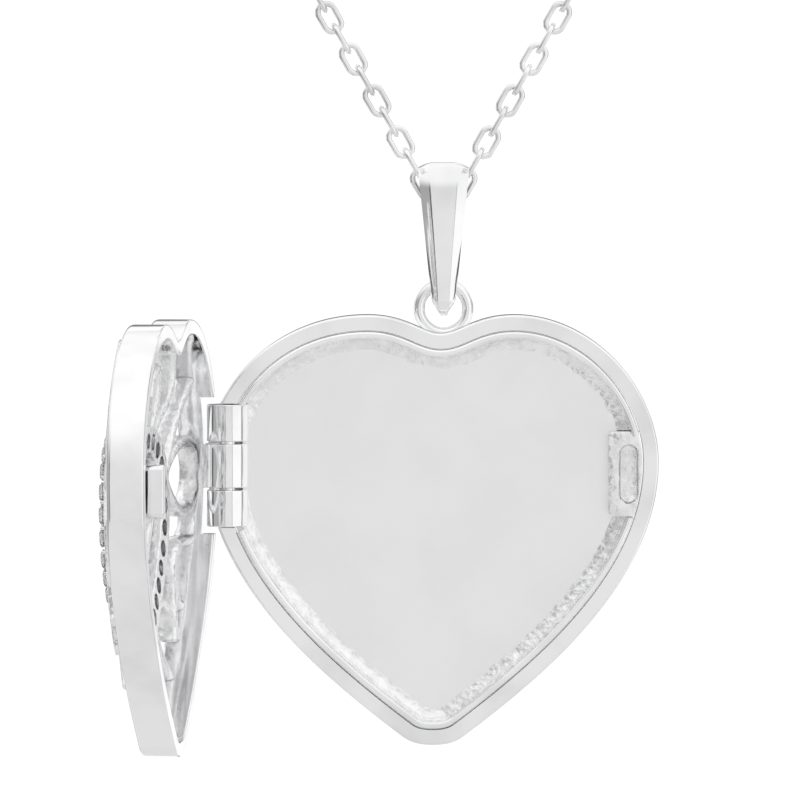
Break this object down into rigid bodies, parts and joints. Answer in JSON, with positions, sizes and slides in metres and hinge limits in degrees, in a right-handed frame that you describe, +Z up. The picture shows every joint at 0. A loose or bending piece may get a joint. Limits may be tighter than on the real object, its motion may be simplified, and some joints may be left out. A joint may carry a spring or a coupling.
{
  "type": "heart locket pendant",
  "caption": "Open heart locket with an openwork stone-set cover on a pin hinge, a snap catch, a tapered bail and a cable chain.",
  "frame": {"origin": "on the middle line of the bail, where the two strands of chain meet inside its eye", "axes": "+Z up as it hangs, +X to the catch side, -Y out of the open back half towards the viewer"},
  "size_m": [0.0307, 0.0254, 0.0483],
  "materials": {
    "polished_silver": "polished, bright rhodium-white",
    "satin_inside": "polished with a soft, slightly uneven cast edge",
    "cast_openwork": "cast and polished, a little rougher inside",
    "chain_silver": "polished, diamond-cut facets",
    "clear_stone": "faceted clear stone"
  },
  "bodies": {
    "chain": {"chain_link_middle": "chain_silver", "chain_link_left_01": "chain_silver", "chain_link_left_02": "chain_silver", "chain_link_left_03": "chain_silver", "chain_link_left_04": "chain_silver", "chain_link_left_05": "chain_silver", "chain_link_left_06": "chain_silver", "chain_link_left_07": "chain_silver", "chain_link_left_08": "chain_silver", "chain_link_left_09": "chain_silver", "chain_link_left_10": "chain_silver", "chain_link_right_01": "chain_silver", "chain_link_right_02": "chain_silver", "chain_link_right_03": "chain_silver", "chain_link_right_04": "chain_silver", "chain_link_right_05": "chain_silver", "chain_link_right_06": "chain_silver", "chain_link_right_07": "chain_silver", "chain_link_right_08": "chain_silver", "chain_link_right_09": "chain_silver", "chain_link_right_10": "chain_silver", "end_ring": "chain_silver", "clasp_body": "chain_silver"},
    "clasp_trigger": {"clasp_trigger": "chain_silver"},
    "bail": {"bail": "polished_silver"},
    "back_half": {"back_plate": "satin_inside", "back_rim": "polished_silver", "bezel_lip_upper": "polished_silver", "bezel_lip_lower": "polished_silver", "catch_pocket": "polished_silver", "hinge_knuckle_upper": "polished_silver", "hinge_knuckle_lower": "polished_silver", "hinge_pin": "polished_silver", "hanging_ring": "polished_silver"},
    "cover": {"cover_rim": "polished_silver", "hinge_knuckle_middle": "polished_silver", "catch_tongue": "polished_silver", "heart_band": "cast_openwork", "stones_01": "clear_stone", "stones_02": "clear_stone", "stones_03": "clear_stone", "stones_04": "clear_stone", "stones_05": "clear_stone", "stones_06": "clear_stone", "stones_07": "clear_stone", "stones_08": "clear_stone", "stones_09": "clear_stone", "stones_10": "clear_stone", "stones_11": "clear_stone", "stones_12": "clear_stone", "stones_13": "clear_stone", "stones_14": "clear_stone", "scroll_lobe_left": "cast_openwork", "scroll_side_left": "cast_openwork", "scroll_lower_left": "cast_openwork", "scroll_lobe_right": "cast_openwork", "scroll_side_right": "cast_openwork", "scroll_lower_right": "cast_openwork", "scroll_tip": "cast_openwork", "scroll_heart": "cast_openwork"}
  },
  "joints": [
    {"name": "bail_swing", "type": "hinge", "parent": "chain", "child": "bail", "pos_m": [0, 0, -0.00085], "axis": [1, 0, 0], "range_deg": [-60, 60]},
    {"name": "locket_swing", "type": "hinge", "parent": "bail", "child": "back_half", "pos_m": [0, 0, -0.00599], "axis": [1, 0, 0], "range_deg": [-75, 75]},
    {"name": "cover_hinge", "type": "hinge", "parent": "back_half", "child": "cover", "pos_m": [-0.01195, -0.0003, -0.016], "axis": [0, 0, 1], "range_deg": [0, 98.7]},
    {"name": "clasp_slide", "type": "hinge", "parent": "chain", "child": "clasp_trigger", "pos_m": [-0.0092, 0, 0.01384], "axis": [0, -1, 0], "range_deg": [0, 35], "stiffness_Nm_per_rad": 0.001, "springref_deg": -11.46}
  ]
}
